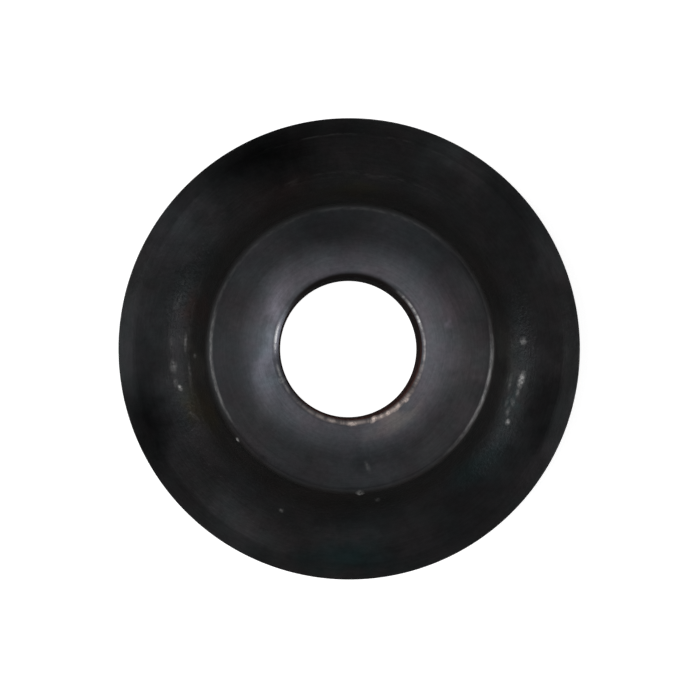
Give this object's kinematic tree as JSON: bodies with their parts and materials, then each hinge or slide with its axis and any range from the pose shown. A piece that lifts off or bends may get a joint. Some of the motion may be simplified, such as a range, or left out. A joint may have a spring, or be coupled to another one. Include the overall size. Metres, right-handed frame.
{
  "type": "pipe cutter wheel",
  "caption": "Round steel cutter wheel with a sharp bevelled rim, a wide plain hub on both sides and a through bore for a pin.",
  "frame": {"origin": "on the bore axis, half way along the hub, in the plane of the cutting edge", "axes": "+Z along the bore axis, out of the hub face that the picture shows; +X to the right and +Y up in the picture; the wheel is turned, so X and Y are free"},
  "size_m": [0.032, 0.032, 0.018],
  "materials": {
    "blackened_steel": "turned and hardened tool steel with a satin black oxide finish, rubbed thin on the edges"
  },
  "bodies": {
    "root": {"cutter_wheel": "blackened_steel"}
  },
  "joints": []
}
